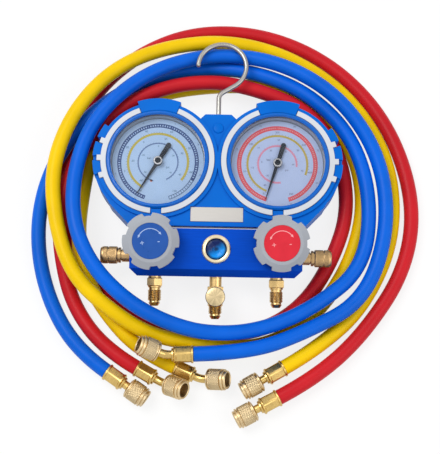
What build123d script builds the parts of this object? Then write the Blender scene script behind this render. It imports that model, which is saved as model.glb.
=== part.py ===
from build123d import *
import os
from math import cos, pi, radians, sin, tan

# Two-valve refrigerant manifold with a compound gauge, a high-side gauge and three charging hoses.
# The set lies on its back. +X points right, +Y towards the hook and +Z out of the gauge faces.
# The origin is on the flat back, halfway between the two gauge axes. Sizes are in millimetres.

# ------------------------------------------------------------------ driving dimensions
case_r = 40.0              # gauge case, an 80 mm gauge
bezel_wall = 2.6           # bezel outside the case
ring_wall = 4.6            # guard ring outside the bezel
ring_space = 5.6           # between the two guard rings
gauge_pitch = 2 * (case_r + bezel_wall + ring_wall) + ring_space
face_z = 41.0              # front of the bezels above the back

case_wall = 1.2
case_rim_z = 36.5
bezel_r = case_r + bezel_wall
bezel_skirt_z = 30.5
bezel_lip = 2.3            # height of the lip in front of the lens
window_cover = 0.8         # the lip hides this much of the case's width
window_r = case_r - window_cover
lens_t = 2.0
dial_z = 29.4
dial_t = 0.6
dial_gap = 0.4             # round the dial, inside the case
needle_z = 31.6
needle_t = 0.7
needle_reach = 33.0
needle_tail = 19.0
needle_w = 1.6
tail_w = 4.2
hub_r = 3.6
hub_z = 35.2

cover_t = 3.0              # rear cover
body_wall = 8.6            # housing outside the case, below the rim
rim_step = 1.8
lug_step = 3.6
tab_drop = 0.6             # the top tab stays inside the lugs' reach
body_r = case_r + body_wall
rim_r = body_r + rim_step
lug_r = rim_r + lug_step
rim_z = 27.0               # the rim starts here
housing_z = 38.6           # front of the rim
web_z = 36.6               # front of the web between the gauges
skirt_z = 14.0             # the flared skirt towards the block starts at this height
skirt_from_y = -14.0       # and below this line, which is a wide arc
skirt_round_r = 200.0
lug_half = 6.6             # half the angle of one lug, degrees
tab_half = 20.0            # half the angle of the top tab, degrees
tab_reach = lug_r - tab_drop
tab_z = 39.6
bar_w = 8.6                # bar across the guard ring below each dial
ring_r = bezel_r + ring_wall
ring_seat_z = 34.2
ring_step_z = 36.2
ring_front_z = 40.0
nub_w = 4.6                # small nubs of the guard ring
screw_r = 1.5              # rear screws
screw_len = 11.0
screw_head_r = 2.9
screw_head_t = 1.6
fit_gap = 0.3              # clearance between parts that only sit together
running = 0.05             # radial clearance of a running fit

plate_w = 43.0             # blank front plate
plate_h = 12.0
plate_below = 6.5          # middle of the plate below the gauge cases
plate_y = -case_r - plate_below
plate_t = 0.8

boss_w = 22.0              # hook boss
boss_above = 1.0
boss_y = case_r + boss_above
boss_flare = 6.0           # the web widens this much at each side of the boss
hook_wire = 4.0
hook_z = 34.0              # height of the wire's middle
hook_mid = (2.5, boss_y + 44.5)     # middle of the hook's round part
hook_r = 20.5
hook_from = -58.0          # angle where the stem's bend meets the round part
hook_to = 176.0            # angle of the tip
hook_neck_y = boss_y + 18.75
hook_neck_r = 7.0
hook_head_r = 3.2
hook_head_t = 2.4
hook_head_y = boss_y - 11.0
stem_gap = 0.08

block_tilt = 12.0          # the block's front leans this far from the gauge faces
block_w = 140.0
block_up = 16.5            # from the middle of the front face to the top
block_down = 22.5
block_t = 30.0
block_below = 36.5         # middle of the block's face below the gauge cases
block_mid = (0.0, -case_r - block_below, 40.5)
block_chamfer = 6.0
block_gap = 2.0            # between block and housing

port_x = gauge_pitch / 2
port_depth = 15.0          # port axes behind the block's front face
port_bore = 2.4
flare_r = 5.55             # 1/4 in SAE flare thread
hex_flat = 12.0
side_y = -6.0
branch_z = 16.0            # branch of the centre port, with its round cap
cap_top = 15.0
cap_len = 7.5
cap_r = 8.0

valve_x = 52.0
valve_y = 5.0
bonnet_flat = 16.0
bonnet_h = 5.5
bonnet_shank_r = 6.0
stem_r = 3.0
knob_r = 22.7
knob_root_r = 20.0
knob_lobes = 6
lobe_w = 15.0
knob_from = 7.5
knob_h = 14.0
knob_face_r = 17.0
label_r = 14.3
label_t = 0.6
left_knob_turn = 8.0
right_knob_turn = 30.0

sight_r = 11.0
sight_window_r = 8.1

hose_od = 12.4
ferrule_flat = 12.8
ferrule_len = 18.0
tail_tube_r = 3.4
nut_r = 8.7
nut_len = 17.5
nut_wall = 3.0
nut_from = 22.0            # from the hose's end to the back of a straight nut
elbow_from = ferrule_len + 1.0
elbow_r = 14.0
elbow_turn = 30.0
elbow_to_nut = 3.0

tooth_module = 0.4
pinion_teeth = 12
sector_teeth = 108         # the full circle that the sector is cut from
sector_shown = 18
sector_angle = 250.0       # direction of the sector's pivot from the gauge axis
sector_z = 19.6
sector_t = 1.6
arbor_r = 1.0
frame_t = 1.2
frame_low_z = 17.0
frame_high_z = 24.0
socket_z = 24.0            # axis of the gauge's stem
socket_w = 18.0
socket_inset = 4.0         # from the case's outside to the socket block
socket_low_z = 7.0
tube_inset = 8.2           # from the case's outside to the middle of the Bourdon tube
tube_bend_r = case_r - tube_inset
tube_z = 11.2
tube_t = 3.0
tube_w = 8.0
tube_from = 283.0
tube_arc = 251.5
left_zero = 239.5          # direction of the pointer at rest, degrees
right_zero = 252.5

sides = (("left", -1), ("right", 1))
block = Plane(origin=block_mid, x_dir=(1, 0, 0),
              z_dir=(0, -sin(radians(block_tilt)), cos(radians(block_tilt))))

# Hose routes, from one hose end to the other. Points were placed by hand round the gauges.
blue_route = [
    (-87.3, -173, 9), (-113, -155.8, 9), (-140, -112.1, 6.4), (-151.7, -62.5, 9.4), (-146, -16, 17.8),
    (-126.1, 25.9, 19.7), (-98.3, 58, 17.7), (-60.6, 85, 9), (-16.3, 95.7, 8.5), (32, 88.7, 17.4),
    (78.8, 67.8, 20), (115.5, 28.4, 19.6), (130, -26.1, 19.6), (123, -84.5, 15.9), (80.3, -120, 22.1),
    (38.3, -138.9, 21.3), (-3.8, -144.3, 30.2), (-39.2, -135.9, 32.2), (-72.6, -118, 32.2),
    (-101.5, -90.1, 37), (-118.3, -52.9, 37), (-119.6, -8.9, 32.2), (-107.4, 33.1, 32.2), (-78.7, 67.5, 31),
    (-42.9, 92, 25), (5, 102.9, 23), (58.3, 92, 27.2), (105.7, 61, 27.1), (138.3, 9.7, 22.9),
    (143.6, -52.5, 20.7), (122.9, -112.2, 18.3), (73.2, -140.1, 20.3), (27.4, -157.8, 24.8),
    (-16.5, -159.6, 24.8)]
red_route = [
    (-63, -169.7, 9), (-90.1, -154.6, 9), (-118.3, -118.6, 6.4), (-130, -77.9, 9.5), (-132, -41, 21.1),
    (-120.4, 8.5, 19.3), (-88.7, 49.7, 19.3), (-50.9, 71.1, 19.3), (-7.4, 78.9, 19.3), (34.3, 71.3, 18.8),
    (78, 53.8, 15.6), (105.4, 18.7, 8.1), (112.5, -31.9, 6.6), (98.1, -76.6, 6.4), (73.1, -116.1, 6.4),
    (36.8, -138.7, 6.4), (-11.2, -141.2, 6.4), (-48.4, -131.6, 6.4), (-83.6, -111.8, 6.4),
    (-112.7, -79.6, 6.4), (-130.1, -37.5, 6.4), (-131.2, 15.6, 6.4), (-112.2, 68.1, 6.4),
    (-72.8, 108.3, 6.4), (-20.8, 131.3, 6.4), (43.2, 129, 6.4), (103, 99.8, 6.4), (147.8, 47.8, 6.4),
    (169, -21.8, 6.4), (159.9, -82.9, 6.4), (123.3, -138.2, 6.4), (82.9, -175.3, 9), (52.9, -191.5, 9)]
yellow_route = [
    (-31.9, -168.5, 9), (-60.3, -156, 9), (-89, -126.9, 12), (-108.8, -94.9, 18.9), (-115.6, -60.7, 19.6),
    (-114.5, -19.2, 8), (-108.7, 21.5, 6.4), (-87.2, 54.1, 6.4), (-51.5, 71.6, 6.4), (-4.3, 79.6, 6.4),
    (40.4, 79.4, 6.4), (83.3, 62.9, 6.4), (115.6, 27.4, 6.4), (126.7, -22.9, 6.4), (116.1, -71.8, 6.4),
    (93.3, -111.3, 6.4), (63.9, -139.9, 6.8), (26.5, -153.4, 8.2), (-15.6, -150.1, 16.7), (-53, -143.8, 17),
    (-85.4, -125.3, 26.8), (-116.5, -98.2, 30.6), (-133, -54.4, 32.2), (-138.6, -5.6, 32.2),
    (-123.3, 43.6, 31.7), (-92.2, 85.4, 26), (-48.2, 109.9, 19.3), (9.8, 116.9, 19.3), (67.1, 103.1, 13),
    (117.8, 67.9, 6.4), (149.1, 11.1, 6.4), (150.9, -55.8, 6.4), (123.2, -116.3, 6.4), (82.3, -152.8, 9),
    (57.2, -167.4, 9)]

os.makedirs("parts", exist_ok=True)


# ------------------------------------------------------------------ helpers
def save(name, shape):
    """Write one sub-part as its own file."""
    shape.label = name
    export_step(shape, f"parts/{name}.step")


def cyl(radius, z_low, z_high, x=0.0, y=0.0):
    """An upright cylinder between two heights."""
    return Pos(x, y, z_low) * Cylinder(radius, z_high - z_low, align=(Align.CENTER, Align.CENTER, Align.MIN))


def ring(outer, inner, z_low, z_high, x=0.0, y=0.0):
    """An upright tube between two heights."""
    return cyl(outer, z_low, z_high, x, y) - cyl(inner, z_low - 1, z_high + 1, x, y)


def slab(x_low, x_high, y_low, y_high, z_low, z_high):
    """A box given by its faces."""
    size = (x_high - x_low, y_high - y_low, z_high - z_low)
    return Pos(x_low, y_low, z_low) * Box(*size, align=(Align.MIN, Align.MIN, Align.MIN))


def turned(points):
    """A solid turned about the Z axis from (radius, height) points."""
    return revolve(make_face(Plane.XZ * Polyline(*points, close=True)), Axis.Z)


def wedge(angle, half, reach, z_low, z_high):
    """A sector of a disc about the Z axis."""
    edge = reach / cos(radians(half))
    corners = [(0, 0)]
    corners += [(edge * cos(radians(angle + k * half)), edge * sin(radians(angle + k * half))) for k in (-1, 0, 1)]
    body = extrude(Plane.XY.offset(z_low) * make_face(Polyline(*corners, close=True)), z_high - z_low)
    return body & cyl(reach, z_low, z_high)


def hexagon(flats, z_low, z_high, corner=0.6):
    """A hexagonal bar with its corners turned off at both ends."""
    bar = Pos(0, 0, z_low) * extrude(RegularPolygon(flats / 2, 6, major_radius=False), z_high - z_low)
    tip = flats / 2 / cos(pi / 6)
    rounder = turned([(0, z_low), (tip - corner, z_low), (tip + 0.1, z_low + corner), (tip + 0.1, z_high - corner),
                      (tip - corner, z_high), (0, z_high)])
    return bar & rounder


# ------------------------------------------------------------------ housing
def body_outline(radius, corner_drop):
    """The boot's outline: two rounds, the web between them and the skirt towards the block."""
    half = gauge_pitch / 2
    rounds = Pos(-half, 0) * Circle(radius) + Pos(half, 0) * Circle(radius)
    skirt = Polyline((-half, 0), (-half - radius * 0.94, -radius * 0.34), (-half - radius * 0.72, -radius * 0.72),
                     (-half - radius * 0.4, -radius - corner_drop), (half + radius * 0.4, -radius - corner_drop),
                     (half + radius * 0.72, -radius * 0.72), (half + radius * 0.94, -radius * 0.34), (half, 0),
                     close=True)
    foot = boss_w / 2 + boss_flare
    web = Polyline((-half, boss_y - 7), (-foot, boss_y - 6), (-boss_w / 2, boss_y), (boss_w / 2, boss_y),
                   (foot, boss_y - 6), (half, boss_y - 7), (half, -radius * 0.9), (-half, -radius * 0.9), close=True)
    return rounds + make_face(skirt) + make_face(web)


def block_side():
    """Everything on the block's side of its top face, with the gap."""
    reach = 200
    near = block_up + block_gap
    return block * Pos(0, near - reach, 0) * Box(2 * reach, reach, reach, align=(Align.CENTER, Align.MIN, Align.CENTER))


def lugs(side):
    """Grip lugs on the outer side of one gauge, and the tab over the top of its guard ring."""
    outward = 0 if side > 0 else 180
    solids = wedge(90, tab_half, tab_reach, rim_z, tab_z)
    for angle in (27.0, 9.0, -9.0):
        solids += wedge(outward + side * angle, lug_half, lug_r, rim_z, housing_z)
    return Pos(side * gauge_pitch / 2, 0, 0) * solids


def hook_slot(width, z_low, y_low, y_high):
    """Room for the hook's stem or head, open towards the back."""
    across = Pos(0, y_low, hook_z) * Rot(-90, 0, 0) * Cylinder(
        width / 2, y_high - y_low, align=(Align.CENTER, Align.CENTER, Align.MIN))
    return across + slab(-width / 2, width / 2, y_low, y_high, z_low, hook_z)


def screw_places():
    """Six rear screws: two in the web and two in each gauge's wall."""
    wall = (case_r + body_r) / 2 + 0.4
    places = [(0, 24), (0, -26)]
    for name, side in sides:
        for angle in (50, -50):
            places.append((side * (gauge_pitch / 2 + wall * cos(radians(angle))), wall * sin(radians(angle))))
    return places


def gauge_housing():
    shell = extrude(Plane.XY.offset(cover_t) * body_outline(body_r, 0), web_z - cover_t)
    upper = cyl(skirt_round_r, skirt_z - 1, web_z + 1, 0, skirt_round_r + skirt_from_y)
    shell += extrude(Plane.XY.offset(skirt_z) * body_outline(tab_reach, 3), web_z - skirt_z) - upper
    for name, side in sides:
        x = side * gauge_pitch / 2
        shell += cyl(rim_r, rim_z, housing_z, x) + lugs(side)
    shell -= block_side()
    for name, side in sides:
        x = side * gauge_pitch / 2
        shell -= cyl(case_r + fit_gap, cover_t - 1, bezel_skirt_z, x)
        shell -= cyl(bezel_r + fit_gap, bezel_skirt_z - fit_gap, face_z, x)
        groove = ring(ring_r + fit_gap, bezel_r + fit_gap - 0.1, ring_seat_z, face_z)
        bridge = wedge(90, tab_half, tab_reach, ring_step_z + fit_gap, tab_z)
        bar = slab(-bar_w / 2, bar_w / 2, -ring_r - 4, -bezel_r, ring_step_z + fit_gap, housing_z)
        groove = groove - bridge - bar
        for angle in nub_angles(side):
            groove += Rot(0, 0, angle) * slab(
                ring_r - 1, rim_r + 1, -nub_w / 2 - fit_gap, nub_w / 2 + fit_gap, ring_step_z, face_z)
        shell -= Pos(x, 0, 0) * groove
        shell -= Pos(x, -case_r + 4, socket_z) * Rot(90, 0, 0) * Cylinder(
            7.4, 40, align=(Align.CENTER, Align.CENTER, Align.MIN))
    for x, y in screw_places():
        shell -= cyl(screw_r + running, cover_t - 1, cover_t + screw_len - 2, x, y)
    shell -= hook_slot(hook_wire + 2 * stem_gap, cover_t - 1, hook_head_y, boss_y + 1)
    shell -= hook_slot(2 * hook_head_r + 2 * fit_gap, cover_t - 1, hook_head_y - hook_head_t - fit_gap, hook_head_y)
    shell -= slab(-plate_w / 2 - fit_gap, plate_w / 2 + fit_gap, plate_y - plate_h / 2 - fit_gap,
                  plate_y + plate_h / 2 + fit_gap, web_z - plate_t, web_z + 5)
    return shell


def nub_angles(side):
    """Small nubs of the guard ring, between the lugs and beside the tab."""
    outward = 0 if side > 0 else 180
    return [outward + side * angle for angle in (18.0, 0.0, -18.0)]


def guard_ring(side):
    base = ring(ring_r, bezel_r + fit_gap, ring_seat_z, ring_front_z)
    tab_room = wedge(90, tab_half + 0.8, tab_reach, ring_step_z, ring_front_z + 1)
    bar_room = slab(-bar_w / 2 - fit_gap, bar_w / 2 + fit_gap, -ring_r - 4, -bezel_r + 2, ring_step_z,
                    ring_front_z + 1)
    base = base - tab_room - bar_room
    for angle in nub_angles(side):
        base += Rot(0, 0, angle) * slab(ring_r - 1, rim_r, -nub_w / 2, nub_w / 2, ring_step_z + fit_gap, ring_front_z)
    return Pos(side * gauge_pitch / 2, 0, 0) * base


def rear_cover():
    cover = extrude(body_outline(body_r, 0), cover_t)
    cover -= block_side()
    for x, y in screw_places():
        cover -= cyl(screw_r + 0.3, -1, cover_t + 1, x, y)
        cover -= cyl(screw_head_r + 0.2, -1, screw_head_t + 0.2, x, y)
    width = hook_wire + 2 * stem_gap - 0.2
    tongue = slab(-width / 2, width / 2, hook_head_y + 0.2, boss_y, cover_t, hook_z - hook_wire / 2 - fit_gap)
    return cover + tongue


def rear_screws():
    one = cyl(screw_head_r, 0.1, 0.1 + screw_head_t) + cyl(screw_r, 0.1, 0.1 + screw_len)
    one -= slab(-0.4, 0.4, -2.2, 2.2, 0, 0.8)
    one -= slab(-2.2, 2.2, -0.4, 0.4, 0, 0.8)
    return Compound(children=[Pos(x, y, 0) * one for x, y in screw_places()])


def hook():
    radius = hook_wire / 2
    start = (hook_mid[0] + hook_r * cos(radians(hook_from)), hook_mid[1] + hook_r * sin(radians(hook_from)))
    plane = Plane.XY.offset(hook_z)
    stem = FilletPolyline((0, hook_head_y), (0, hook_neck_y), start, radius=hook_neck_r)
    bend = CenterArc(hook_mid, hook_r, hook_from, hook_to - hook_from)
    path = plane * Wire([*stem.edges(), *bend.edges()])
    wire = sweep(Plane(origin=(0, hook_head_y, hook_z), z_dir=(0, 1, 0)) * Circle(radius), path=path)
    tip = (hook_mid[0] + hook_r * cos(radians(hook_to)), hook_mid[1] + hook_r * sin(radians(hook_to)), hook_z)
    wire += Pos(*tip) * Sphere(radius)
    head = Pos(0, hook_head_y - hook_head_t, hook_z) * Rot(-90, 0, 0) * Cylinder(
        hook_head_r, hook_head_t, align=(Align.CENTER, Align.CENTER, Align.MIN))
    return wire + head


# ------------------------------------------------------------------ gauges
def gauge_case():
    floor_z = cover_t + fit_gap
    case = cyl(case_r, floor_z, case_rim_z) - cyl(case_r - case_wall, floor_z + case_wall, case_rim_z + 1)
    case = fillet(case.edges().sort_by(Axis.Z)[0], 1.0)
    case -= Pos(0, -case_r + 4, socket_z) * Rot(90, 0, 0) * Cylinder(
        5.1, 10, align=(Align.CENTER, Align.CENTER, Align.MIN))
    return case


def bezel():
    bore = case_r + running
    lip_z = face_z - bezel_lip
    return turned([(bore, bezel_skirt_z), (bezel_r, bezel_skirt_z), (bezel_r, face_z - 1.2), (bezel_r - 1.2, face_z),
                   (window_r + 1.0, face_z), (window_r, face_z - 1.0), (window_r, lip_z), (bore, lip_z)])


def gauge_lens():
    return cyl(case_r - running, case_rim_z, case_rim_z + lens_t)


def dial():
    return ring(case_r - case_wall - dial_gap, 2.2, dial_z, dial_z + dial_t)


def gauge_socket():
    """Stem, socket block and the movement's two plates, which the dial stands on."""
    stem = Pos(0, -case_r + 8, socket_z) * Rot(90, 0, 0) * (
        Cylinder(5.0, 13.0, align=(Align.CENTER, Align.CENTER, Align.MIN))
        + hexagon(12.0, 9.0, 16.5)
        + cyl(4.8, 16.0, stem_end()))
    wall_y = -case_r + socket_inset
    low = slab(-socket_w / 2, socket_w / 2, wall_y, wall_y + 10, socket_low_z, frame_low_z + frame_t)
    spine = slab(-socket_w / 2, socket_w / 2, wall_y, wall_y + 6.5, frame_low_z, frame_high_z + frame_t)
    plates = cyl(6, frame_low_z, frame_low_z + frame_t) + cyl(6, frame_high_z, frame_high_z + frame_t)
    for z in (frame_low_z, frame_high_z):
        plates += slab(-13, socket_w / 2, wall_y + 6, wall_y + 16, z, z + frame_t)
        plates += slab(-5, 5, wall_y + 14, 0, z, z + frame_t)
    frame = low + spine + plates
    for angle in (20, 160):
        post_x, post_y = 5.0 * cos(radians(angle)), 5.0 * sin(radians(angle))
        frame += cyl(0.9, frame_high_z, dial_z, post_x, post_y)
    frame += cyl(0.9, frame_high_z, dial_z, 0, wall_y + 4)
    frame -= cyl(arbor_r + running, frame_low_z - 1, frame_high_z + 4)
    frame -= cyl(arbor_r + running, frame_low_z - 1, frame_high_z + 4, *sector_pivot())
    return stem + frame - bourdon_tube()


def stem_end():
    """Length of the stem from its root, ending 8 mm inside the block."""
    top_y = (block * Pos(0, block_up, -port_depth)).position.Y
    return (-case_r + 8) - top_y + 8.0


def bourdon_tube():
    """Flattened tube bent round the movement, from the socket to its closed tip."""
    section = Pos(tube_bend_r, tube_z) * RectangleRounded(tube_t, tube_w, 1.3)
    tube = revolve(Plane.XZ * section, Axis.Z, tube_arc)
    plug = Pos(tube_bend_r, 0, tube_z) * Box(tube_t + 0.6, 3.0, tube_w + 0.6)
    return Rot(0, 0, tube_from) * tube + Rot(0, 0, tube_from + tube_arc) * plug


def sector_pivot():
    reach = tooth_module * (sector_teeth + pinion_teeth) / 2
    return reach * cos(radians(sector_angle)), reach * sin(radians(sector_angle))


def gear_outline(teeth, shown, first):
    """Trapezoid teeth with backlash, as points round the rim from the tooth at index first."""
    pitch_r = tooth_module * teeth / 2
    tip = pitch_r + 0.8 * tooth_module
    root = pitch_r - 1.05 * tooth_module
    points = []
    for index in range(first, first + shown):
        middle = index * 2 * pi / teeth
        for radius, half in ((root, 0.62), (tip, 0.26), (tip, -0.26), (root, -0.62)):
            angle = middle - half * tooth_module / pitch_r
            points.append((radius * cos(angle), radius * sin(angle)))
    return points


def sector_gear():
    """Toothed fan on its pivot, with the tail that the tube's tip would pull."""
    rim = gear_outline(sector_teeth, sector_shown, -sector_shown + 4)
    hub_angle = sector_angle - 180
    fan = make_face(Polyline((0, 0), *rim, close=True))
    fan -= make_face(Polyline((7, 0), *[(16.5 * cos(a), 16.5 * sin(a)) for a in (
        radians(360 / sector_teeth * k) for k in (-11, -5.5, 0))], close=True))
    body = extrude(fan, sector_t)
    body = Rot(0, 0, hub_angle) * body
    body += Rot(0, 0, hub_angle + 108) * slab(0, 11, -1.6, 1.6, 0, sector_t)
    body += Cylinder(3.0, sector_t, align=(Align.CENTER, Align.CENTER, Align.MIN))
    body = Pos(*sector_pivot(), sector_z) * body
    return body + cyl(arbor_r, frame_low_z + 0.1, frame_high_z + frame_t, *sector_pivot())


def pinion():
    """Small gear with its arbor, turned half a tooth so that it meshes at rest."""
    outline = gear_outline(pinion_teeth, pinion_teeth, 0)
    gear = Pos(0, 0, sector_z - 0.3) * extrude(make_face(Polyline(*outline, close=True)), sector_t + 0.6)
    phase = sector_angle + 180 / pinion_teeth
    return Rot(0, 0, phase) * gear + cyl(arbor_r, frame_low_z + 0.1, hub_z - 1)


def pointer(direction):
    """Needle with its counterweight tail, pressed on the arbor."""
    needle = make_face(Polyline((0, -needle_w), (needle_reach, -0.25), (needle_reach, 0.25), (0, needle_w),
                                (-needle_tail + tail_w / 2, tail_w / 2), (-needle_tail + tail_w / 2, -tail_w / 2),
                                close=True))
    needle += Pos(-needle_tail + tail_w / 2, 0) * Circle(tail_w / 2)
    body = Pos(0, 0, needle_z) * extrude(needle, needle_t) + cyl(hub_r, needle_z - 0.4, hub_z)
    body -= cyl(arbor_r, needle_z - 2, hub_z - 1)
    return Rot(0, 0, direction) * body


# ------------------------------------------------------------------ manifold block and valves
def manifold_block():
    outline = Polyline((-block_w / 2, block_up), (-block_w / 2, -block_down + block_chamfer),
                       (-block_w / 2 + block_chamfer, -block_down), (block_w / 2 - block_chamfer, -block_down),
                       (block_w / 2, -block_down + block_chamfer), (block_w / 2, block_up), close=True)
    body = Pos(0, 0, -block_t) * extrude(make_face(outline), block_t)
    front_edge = body.edges().filter_by(Axis.X).group_by(Axis.Z)[-1].sort_by(Axis.Y)[0]
    body = chamfer(front_edge, block_chamfer)
    for name, side in sides:
        shaft = cyl(bonnet_shank_r + running, -12, 1, side * valve_x, valve_y)
        body -= shaft + cyl(stem_r + 0.6, -20, 1, side * valve_x, valve_y)
        body -= bottom_port_place(side * port_x) * cyl(4.85, -8, 1)
        body -= side_port_place(side) * cyl(4.85, -8, 1)
    body -= bottom_port_place(0) * cyl(4.85, -8, 1)
    body -= cyl(sight_window_r + 0.9, -6, 1)
    body -= cyl(sight_window_r - 1.5, -11, 1)
    body = block * body
    for name, side in sides:
        body -= Pos(side * gauge_pitch / 2, -case_r + 8, socket_z) * Rot(90, 0, 0) * cyl(4.85, 0, stem_end() + 1)
    return body


def bottom_port_place(x):
    """Frame on the block's lower face, +Z out of the block."""
    return Plane(origin=(x, -block_down, -port_depth), x_dir=(1, 0, 0), z_dir=(0, -1, 0)).location


def side_port_place(side):
    return Plane(origin=(side * block_w / 2, side_y, -port_depth), x_dir=(0, 1, 0), z_dir=(side, 0, 0)).location


def flare_nose(z):
    """Thread, undercut and 45 degree nose of a 1/4 in male flare, starting at height z."""
    return turned([(0, z), (flare_r, z), (flare_r, z + 8.5), (4.2, z + 9.0), (4.2, z + 10.0), (4.8, z + 10.6),
                   (3.1, z + 13.0), (0, z + 13.0)])


def bottom_port():
    body = cyl(4.8, -8, 0) + hexagon(hex_flat, 0, 10.5) + cyl(4.6, 10.5, 11.5) + flare_nose(11.5)
    return body - cyl(port_bore, -9, 40)


def centre_tee():
    body = cyl(4.8, -8, 0) + cyl(5.0, 0, 9) + cyl(6.2, 8, 24) + cyl(4.7, 24, 25.5)
    body += Pos(0, 0, 8) * hexagon(13.0, 0, 3.5)
    body = fillet(body.edges().filter_by(GeomType.CIRCLE).group_by(Axis.Z)[0], 0.4)
    body += flare_nose(24.0 - 2.5)
    body += Pos(0, 0, branch_z) * Rot(-90, 0, 0) * cyl(4.6, 0, cap_top - 1.5)
    return body - cyl(port_bore, -9, 40) - Pos(0, 0, branch_z) * Rot(-90, 0, 0) * cyl(1.6, 0, 20)


def centre_cap():
    cap = turned([(4.65, cap_top - cap_len), (cap_r - 0.5, cap_top - cap_len), (cap_r, cap_top - cap_len + 0.5),
                  (cap_r, cap_top - 0.8), (cap_r - 0.8, cap_top), (0, cap_top), (0, cap_top - 1.4),
                  (4.65, cap_top - 1.4)])
    return Pos(0, 0, branch_z) * Rot(-90, 0, 0) * cap


def side_port():
    body = cyl(4.8, -8, 0) + cyl(5.5, 0, 7.0) + cyl(4.5, 7.0, 8.2) + cyl(6.4, 8.2, 10.0) + cyl(flare_r, 10.0, 21.0)
    body += turned([(0, 21.0), (4.6, 21.0), (3.2, 23.0), (0, 23.0)])
    return body - cyl(port_bore, -9, 40)


def side_cap():
    bore = flare_r + running
    return turned([(bore, 10.9), (6.6, 10.9), (7.1, 11.4), (7.1, 22.6), (6.0, 24.8), (0, 24.8), (0, 23.3), (bore, 23.3)])


def valve_bonnet():
    body = cyl(bonnet_shank_r, -12, 0) + hexagon(bonnet_flat, 0, bonnet_h)
    return body - cyl(stem_r + running, -13, bonnet_h + 1)


def valve_stem():
    top = knob_from + knob_h - 2.5
    return turned([(0, -19.5), (1.2, -19.5), (stem_r, -16.5), (stem_r, top), (0, top)])


def knob(turn):
    lobe = slab(0, knob_r, -lobe_w / 2, lobe_w / 2, 0, knob_h)
    rim = cyl(knob_root_r, 0, knob_h)
    for index in range(knob_lobes):
        rim += Rot(0, 0, index * 360 / knob_lobes) * lobe
    rim &= turned([(0, 0), (knob_r - 1.5, 0), (knob_r, 1.5), (knob_r, knob_h - 4.0), (knob_face_r, knob_h),
                   (0, knob_h)])
    rim -= cyl(label_r + 0.2, knob_h - label_t, knob_h + 1)
    rim -= cyl(stem_r + running, -1, knob_h - 2.5)
    rim -= ring(17.0, 6.5, -1, knob_h - 5.0)
    return Rot(0, 0, turn) * Pos(0, 0, knob_from) * rim


def knob_label(turn):
    return Rot(0, 0, turn) * cyl(label_r, knob_from + knob_h - label_t, knob_from + knob_h)


def sight_ring():
    return turned([(sight_window_r + 0.85, -6.0), (sight_window_r - 0.6, -6.0), (sight_window_r - 0.6, -3.4),
                   (sight_window_r + 0.2, -3.4), (sight_window_r + 0.2, 0.6), (sight_window_r, 0.8),
                   (sight_window_r, 1.4), (sight_window_r + 0.8, 2.2), (sight_r - 0.8, 2.2), (sight_r, 1.4),
                   (sight_r, 0), (sight_window_r + 0.85, 0)])


def sight_lens():
    return cyl(sight_window_r + 0.15, -3.4, 0.5)


# ------------------------------------------------------------------ hoses and their fittings
def route_radii(points):
    """Each corner's arc takes 0.45 of the shorter run beside it."""
    radii = []
    for before, corner, after in zip(points, points[1:], points[2:]):
        first = Vector(*corner) - Vector(*before)
        second = Vector(*after) - Vector(*corner)
        turn = radians(first.get_angle(second))
        radii.append(0.45 * min(first.length, second.length) / tan(turn / 2))
    return radii


def hose(name, points):
    radii = route_radii(points)
    path = FilletPolyline(*points, radius=radii)
    tube = sweep(Plane(origin=path @ 0, z_dir=path % 0) * Circle(hose_od / 2), path=path)
    filled = tube.volume / (pi * hose_od ** 2 / 4 * path.length)
    print(name, "length", round(path.length), "smallest radius", round(min(radii)), "volume ratio", round(filled, 4))
    return tube


def end_frame(end, beside):
    """Frame at a hose's end, +Z out of the hose and +X level, to the left of the way out."""
    out = (Vector(*end) - Vector(*beside)).normalized()
    level = Vector(0, 0, 1).cross(out).normalized()
    return Plane(origin=end, x_dir=level, z_dir=out)


def ferrule(bend):
    """Crimped hexagonal ferrule with the tail tube that the nut spins on."""
    body = hexagon(ferrule_flat, 0, ferrule_len - 2.0, corner=0.9)
    body += cyl(ferrule_flat / 2 - 1.2, ferrule_len - 2.5, ferrule_len)
    if bend is None:
        body += cyl(tail_tube_r, ferrule_len - 1, nut_from)
    else:
        elbow = cyl(tail_tube_r, ferrule_len - 1, elbow_from)
        elbow += revolve(Plane.XY.offset(elbow_from) * Circle(tail_tube_r),
                         Axis((elbow_r, 0, elbow_from), (0, 1, 0)), elbow_turn)
        body += Rot(0, 0, bend) * elbow
    seat = cyl(tail_tube_r, -elbow_to_nut, nut_wall + 0.5)
    seat += turned([(0, nut_wall + 0.4), (5.1, nut_wall + 0.4), (5.1, nut_wall + 1.8), (3.2, nut_wall + 3.8),
                    (0, nut_wall + 3.8)])
    body += nut_place(bend) * seat
    return body - cyl(port_bore, -1, ferrule_len - 3)


def nut_place(bend):
    """Where the nut's back face sits, seen from the hose's end. A bend is given by its direction."""
    if bend is None:
        return Pos(0, 0, nut_from)
    turn = radians(elbow_turn)
    middle = Pos(elbow_r * (1 - cos(turn)), 0, elbow_from + elbow_r * sin(turn))
    return Rot(0, 0, bend) * middle * Rot(0, elbow_turn, 0) * Pos(0, 0, elbow_to_nut)


def hose_nut():
    """Swivel nut: its thread starts past a relief, where the seat sits."""
    inner = flare_r + running
    relief = inner + 0.4
    thread_z = nut_wall + 4.2
    return turned([(tail_tube_r + running, 0), (nut_r - 1.6, 0), (nut_r, 1.6), (nut_r, nut_len - 1.0),
                   (nut_r - 1.0, nut_len), (inner + 0.8, nut_len), (inner, nut_len - 0.8), (inner, thread_z),
                   (relief, thread_z), (relief, nut_wall), (tail_tube_r + running, nut_wall)])


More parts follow.
